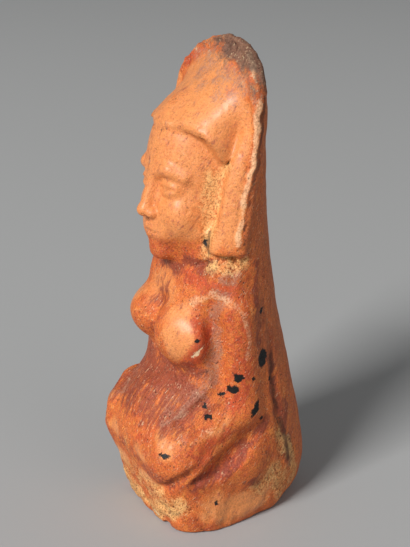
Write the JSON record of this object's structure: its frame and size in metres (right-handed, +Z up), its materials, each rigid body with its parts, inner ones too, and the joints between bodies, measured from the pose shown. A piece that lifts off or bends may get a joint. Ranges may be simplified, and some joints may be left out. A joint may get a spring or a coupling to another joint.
{
  "type": "seated female figurine",
  "caption": "Moulded terracotta figurine of a seated woman under a tall arched hood, standing on its flat underside.",
  "frame": {"origin": "on the floor, under the middle of the figurine's bounding box", "axes": "+X to her left, the side seen in the picture; -Y the way she faces; +Z up"},
  "size_m": [0.0586, 0.0706, 0.1701],
  "materials": {
    "terracotta": "burnished unglazed earthenware, worn matt in the hollows"
  },
  "bodies": {
    "root": {"figurine": "terracotta"}
  },
  "joints": []
}
